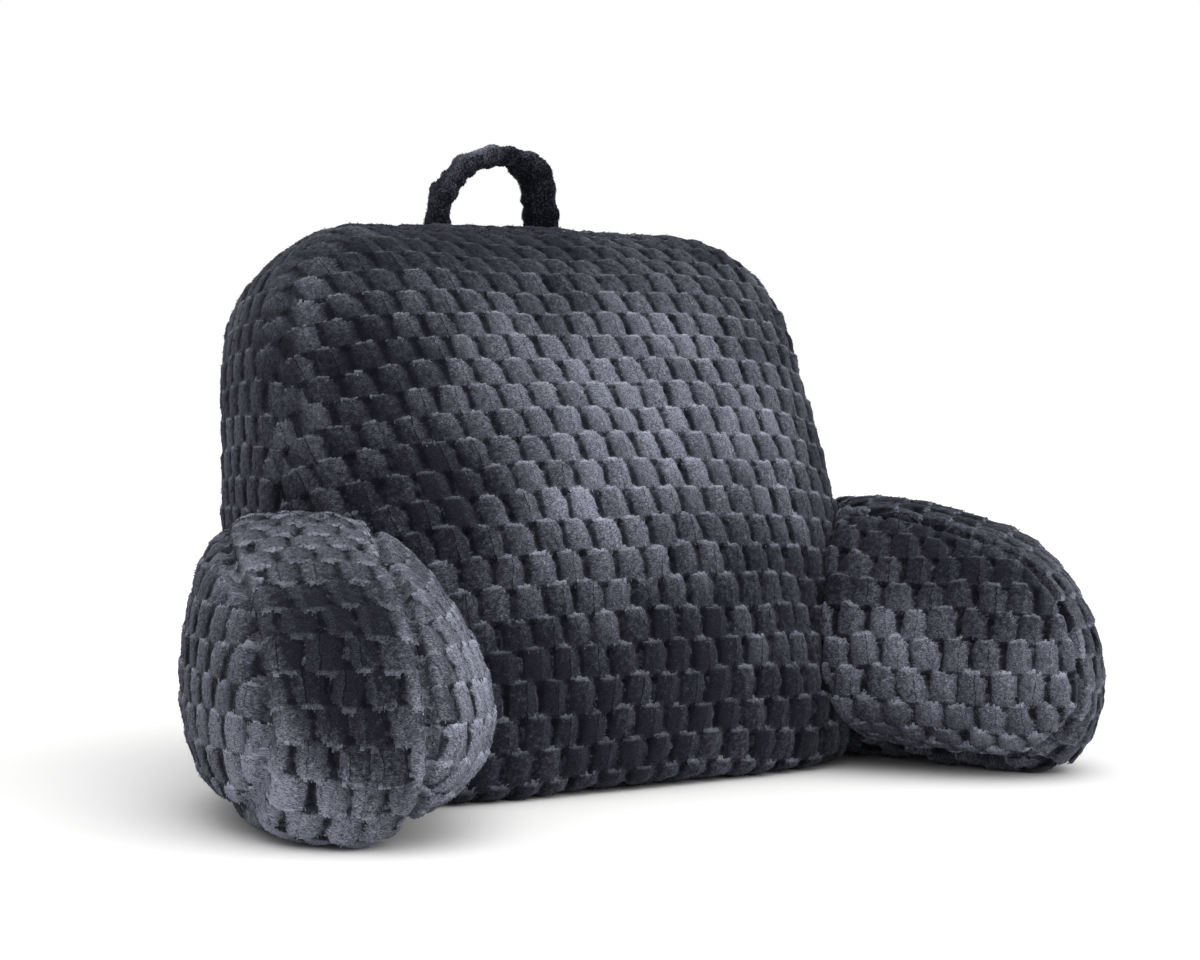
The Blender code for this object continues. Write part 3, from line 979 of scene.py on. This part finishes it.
backCushion = {
    "name": "back_cushion_plush",
    "node": "back_cushion",
    "voxel": 0.0050,
    "pileVoxel": 0.0023,
    "pileSoften": 1,
    "clumps": 0.0005,
    "soften": 26,
    "shrink": 0.0054,
    "pressure": 4.0,
    "swell": 0.0030,
    "fill": 0.8,
    "frontSeam": (-0.0700, 0.2895, 0.056),  # its place in Y: at the floor, for each metre up, squared
    "rearSeam": (0.1986, 0.100, 0.0),
    "fullest": 0.190,  # height of the panels' middle
    "middleReach": 0.02,
    "frontWrap": 0.045,  # how far the front's cells run on over its edge
    "edgeStrip": 0.03,
    "slant": 0.13,  # how the columns drift aside, for each metre up the front
    "crowding": 0.45,  # how the rows draw together up there
    "seamWidth": 0.0060,
    "seamDepth": 0.0,
    "seamTone": 0.0,  # how much lighter the pile is beside a seam
    "seamFill": 0.0026,  # how high the pile stands there between the cells
    "fillReach": 0.016,
    "gapFill": 0.0003,  # and how high everywhere
    "lumps": 0.0026,
    "lumpSize": 0.16,
    "seed": 3,
    "tone": -0.60,
    "pile": 1.0,
    "loose": 1.0,  # how uneven the cells are
    "tufts": 96000,
    "tuftPieces": 2,
    "brushedAndLit": (
        # place, how far it reaches, lighter or darker: brushed tone, and painted light and shade
        (0.00, -0.07, 0.27, 0.11, 0.85),  # the lit middle
        (0.09, -0.01, 0.36, 0.09, 0.32),
        (-0.05, 0.00, 0.37, 0.08, 0.25),
        (0.14, -0.05, 0.27, 0.07, 0.50),
        (-0.07, -0.09, 0.19, 0.05, 0.40),
        (-0.16, -0.06, 0.225, 0.045, -0.60),
        (-0.16, -0.01, 0.32, 0.06, 0.20),  # the left side
        (-0.22, -0.02, 0.25, 0.07, -0.15),
        (-0.24, 0.04, 0.32, 0.08, 0.16),
        (-0.03, 0.05, 0.44, 0.09, -0.62),  # the top
        (-0.13, 0.06, 0.45, 0.07, -0.15),
        (0.03, -0.11, 0.09, 0.13, -0.34),  # the foot, in painted shade
        (-0.13, -0.11, 0.06, 0.10, -0.35),
    ),
    "pressed": (
        # place, how far it reaches, how much lower the pile is
        (-0.22, -0.01, 0.31, 0.12, 0.66),
        (-0.15, -0.02, 0.33, 0.07, 0.35),
        (-0.25, 0.10, 0.34, 0.11, 0.60),
        (-0.10, 0.07, 0.50, 0.14, 0.45),
        (0.10, 0.07, 0.50, 0.12, 0.40),
    ),
}


def seamPlace(seam, height):
    return seam[0] + seam[1] * height + seam[2] * height**2


# The back cushion's panels laid flat: its front, left edge, rear and right edge.
def backLayout(points, normals):
    settings = backCushion
    lean = math.atan(settings["frontSeam"][1] + 2 * settings["frontSeam"][2] * settings["fullest"])
    upFront = (0.0, math.sin(lean), math.cos(lean))
    outFront = (0.0, -math.cos(lean), math.sin(lean))
    x, y, z = points.T
    reach = settings["middleReach"]
    nearMiddle = (np.abs(x) < reach) & (np.abs(z - settings["fullest"]) < reach)
    frontSeam = seamPlace(settings["frontSeam"], z)
    rearSeam = seamPlace(settings["rearSeam"], z)
    onFront = y < frontSeam + settings["frontWrap"]
    onRear = y > rearSeam
    frontMiddle = (0.0, y[nearMiddle & onFront].min(), settings["fullest"])
    rearMiddle = (0.0, y[nearMiddle & onRear].max(), settings["fullest"])
    across, up = flatOnCloth(points, onFront, frontMiddle, (1, 0, 0), upFront, outFront)
    rising = np.maximum(up, 0)
    across = across + settings["slant"] * rising
    up = up + settings["crowding"] * rising**2
    rearLean = math.atan(settings["rearSeam"][1])
    upRear = (0.0, math.sin(rearLean), math.cos(rearLean))
    outRear = (0.0, math.cos(rearLean), -math.sin(rearLean))
    rearAcross, rearUp = flatOnCloth(points, onRear, rearMiddle, (-1, 0, 0), upRear, outRear)
    onEdge = ~(onFront | onRear)
    through = y - (frontSeam + rearSeam) / 2
    ring = onEdge & (np.abs(through) < settings["edgeStrip"])
    along = aroundEdge(z - settings["fullest"], np.abs(x), ring, 0.0)
    side = np.where(x < 0, -1.0, 1.0)
    panels = ((across, up), (through, along * side), (rearAcross, rearUp), (through, -along * side))
    alongEdge = np.cross((0.0, 1.0, 0.0), normals) * side[:, None]
    nap = np.where(onEdge[:, None], alongEdge, np.array((0.0, 0.0, -1.0)))
    toSeam = np.minimum(np.abs(y - frontSeam), np.abs(y - rearSeam))
    panelOf = np.where(onEdge, np.where(x < 0, 1, 3), np.where(onFront, 0, 2))
    return panels, panelOf, nap, toSeam


armCushion = {
    "voxel": 0.0046,
    "pileVoxel": 0.0020,
    "pileSoften": 1,
    "clumps": 0.0006,
    "soften": 12,
    "shrink": 0.0054,
    "pressure": 4.0,
    "swell": 0.0030,
    "fill": 0.75,
    "root": (0.222, 0.0433),
    "splay": math.radians(39.6),
    "bend": -1.073,  # how far the tip curves back inwards, for each metre squared
    "seam": 0.054,  # distance of both seams from the arm's middle
    "middle": (0.119, 0.089),
    "middleReach": 0.02,
    "edgeStrip": 0.02,
    "edgeStart": math.radians(-150),
    "seamWidth": 0.0034,
    "seamDepth": 0.0050,
    "seamTone": 0.25,
    "seamFill": 0.0038,
    "fillReach": 0.018,
    "gapFill": 0.0015,
    "lumps": 0.0022,
    "lumpSize": 0.14,
    "seed": 11,
    "tone": -0.40,
    "pile": 0.86,
    "loose": 1.9,
    "tufts": 40000,
    "tuftPieces": 1,
}

# Where each arm's pile is lighter or darker, by brushed tone and by painted light and shade, and pressed
# flat.
armBrushedAndLit = {
    "arm_left": {
        "brushedAndLit": (
            (-0.355, -0.195, 0.135, 0.060, -0.50),
            (-0.325, -0.205, 0.150, 0.050, -0.50),
            (-0.330, -0.225, 0.090, 0.040, -0.45),
            (-0.390, -0.120, 0.070, 0.070, 0.55),
            (-0.345, -0.190, 0.020, 0.060, 0.85),
            (-0.235, -0.235, 0.100, 0.060, 0.85),
            (-0.230, -0.215, 0.160, 0.050, 0.65),
            (-0.300, -0.120, 0.200, 0.050, 0.15),
        ),
        "pressed": ((-0.350, -0.200, 0.130, 0.090, 0.35), (-0.385, -0.100, 0.100, 0.080, 0.40)),
    },
    "arm_right": {
        "brushedAndLit": (
            (0.220, -0.120, 0.210, 0.080, -0.50),
            (0.200, -0.155, 0.110, 0.050, 0.50),
            (0.255, -0.220, 0.130, 0.035, -0.30),
            (0.200, -0.150, 0.060, 0.040, 0.25),
            (0.250, -0.230, 0.060, 0.050, 0.30),
            (0.185, -0.125, 0.030, 0.035, -0.30),
            (0.330, -0.230, 0.120, 0.060, 0.15),
            (0.245, -0.170, 0.185, 0.060, -0.40),
        ),
        "pressed": ((0.200, -0.140, 0.200, 0.060, 0.30),),
    },
}


# An arm's panels laid flat: its inner face, its edge and its outer face.
def armLayout(side):
    splay = armCushion["splay"]
    forward = np.array((math.sin(splay), -math.cos(splay), 0.0))
    sideways = np.array((math.cos(splay), math.sin(splay), 0.0))
    mirror = np.array((side, 1.0, 1.0))

    def layout(points, normals):
        local = points * mirror - np.array((*armCushion["root"], 0.0))
        ahead = local @ forward
        aside = local @ sideways - armCushion["bend"] * np.maximum(ahead, 0) ** 2
        high = local[:, 2]
        straight = np.column_stack((ahead, aside, high))
        onInner = aside < -armCushion["seam"]
        onOuter = aside > armCushion["seam"]
        onEdge = ~(onInner | onOuter)
        middle = armCushion["middle"]
        reach = armCushion["middleReach"]
        near = (np.abs(ahead - middle[0]) < reach) & (np.abs(high - middle[1]) < reach)
        inner = (middle[0], aside[near & onInner].min(), middle[1])
        outer = (middle[0], aside[near & onOuter].max(), middle[1])
        innerFlat = flatOnCloth(straight, onInner, inner, (1, 0, 0), (0, 0, 1), (0, -1, 0))
        outerFlat = flatOnCloth(straight, onOuter, outer, (-1, 0, 0), (0, 0, 1), (0, 1, 0))
        ring = onEdge & (np.abs(aside) < armCushion["edgeStrip"])
        along = aroundEdge(-(ahead - middle[0]), high - middle[1], ring, armCushion["edgeStart"])
        panels = (innerFlat, (aside, along - along.max()), outerFlat)
        alongEdge = np.cross(sideways, normals * mirror)
        nap = np.where(onEdge[:, None], alongEdge, np.array((0.0, 0.0, -1.0))) * mirror
        toSeam = np.abs(np.abs(aside) - armCushion["seam"])
        return panels, 1 - onInner.astype(int) + onOuter, nap, toSeam

    return layout


carryStrap = {
    "name": "carry_strap_plush",
    "node": "carry_strap",
    "voxel": 0.0021,
    "soften": 6,
    "shrink": 0.0030,
    "pressure": 2.0,
    "swell": 0.0012,
    "fill": 0.4,
    "middle": (-0.004, 0.455),
    "folds": 15,  # round the loop
    "foldBend": (1.3, 5, 60),  # how much they are bent, how often round the loop, and across it
    "foldWidth": 2.2,
    "seamWidth": 0.0050,
    "seamDepth": 0.0016,
    "lumps": 0.0022,
    "lumpSize": 0.05,
    "seed": 23,
    "tone": -0.95,
    "tufts": 22000,
    "tuftSize": 0.85,
    "brushedAndLit": (
        (-0.018, 0.14, 0.518, 0.022, 2.6),
        (0.036, 0.14, 0.513, 0.013, 1.9),
        (-0.055, 0.13, 0.490, 0.014, 1.0),
    ),
    "turned": 0.0125,  # how far the right leg's rear edge is turned inwards
    "legRight": (0.053, 0.014),  # where that fades out, and how broadly: to its right,
    "legLeft": (0.014, 0.016),  # to its left,
    "legTop": (0.500, 0.010),  # upwards
    "legFront": (0.120, 0.026),  # and to the front
    "corner": (0.060, 0.501, 0.013, 0.0045),  # the fold on the right, its reach and how far it stands out
    "crest": (-0.014, 0.510, 0.022, 0.0040),
}


# The strap's folds, which run across it, and its nap.
def strapLayout(points, normals):
    x, y, z = points.T
    middle = carryStrap["middle"]
    bent, often, over = carryStrap["foldBend"]
    angle = np.arctan2(z - middle[1], x - middle[0])
    nap = np.cross((0.0, 1.0, 0.0), normals)
    fold = np.sin(angle * carryStrap["folds"] + bent * np.sin(angle * often) + y * over)
    toFold = np.where(fold > 0, carryStrap["seamWidth"] * carryStrap["foldWidth"] * fold, 0.0)
    return None, None, nap, toFold


# Turns the strap's right leg at its rear edge and folds its corner, as it hangs.
def bendStrap(strap):
    points = readVertices(strap.data)
    x, y, z = points.T

    def fades(name, along, way):
        end, broad = carryStrap[name]
        return smoothStep((along - end) * way / broad)

    inwards = fades("legRight", x, -1) * fades("legLeft", x, 1) * fades("legTop", z, -1)
    points[:, 0] -= carryStrap["turned"] * inwards * fades("legFront", y, 1)
    for name, moved in (("corner", (1.0, 0.0, 0.7)), ("crest", (0.0, 0.0, 1.0))):
        across, up, reach, amount = carryStrap[name]
        near = np.exp(-(((x - across) ** 2 + (z - up) ** 2) / reach**2))
        points += near[:, None] * amount * np.array(moved)
    writeVertices(strap.data, points)


addCamera()
addStudio()
addFloor()
plush = cellMaterial()
strapPlush = strapMaterial()
print("studio ready")

cushions = [makeCushion(backCushion, backLayout)]
for node, side in (("arm_left", -1), ("arm_right", 1)):
    settings = dict(armCushion, node=node, name=node + "_plush", seed=armCushion["seed"] + side)
    settings.update(armBrushedAndLit[node])
    cushions.append(makeCushion(settings, armLayout(side)))

tuftSeed = 100
for k, (piece, nap, settings) in enumerate(cushions):
    parts = settings["tuftPieces"]
    for part in range(parts):
        name = piece.name.replace("plush", f"pile_{part + 1}")
        tufts = growTufts(piece, nap, name, settings["tufts"] // parts, tuftSeed + k * 10 + part)
        finishPiece(tufts, plush)
print("tufts grown")

strap = stuffedCopy(carryStrap)
bendStrap(strap)
strapNap = shapeCushion(strap, strapLayout, carryStrap)["nap"]
writeAttribute(strap.data, "tone", toneBrushedAndLit(readVertices(strap.data), carryStrap))
finishPiece(strap, strapPlush, ["carry_strap"])
tufts = growTufts(strap, strapNap, "strap_pile", carryStrap["tufts"], tuftSeed + 30, carryStrap["tuftSize"])
finishPiece(tufts, strapPlush)
print("strap made")
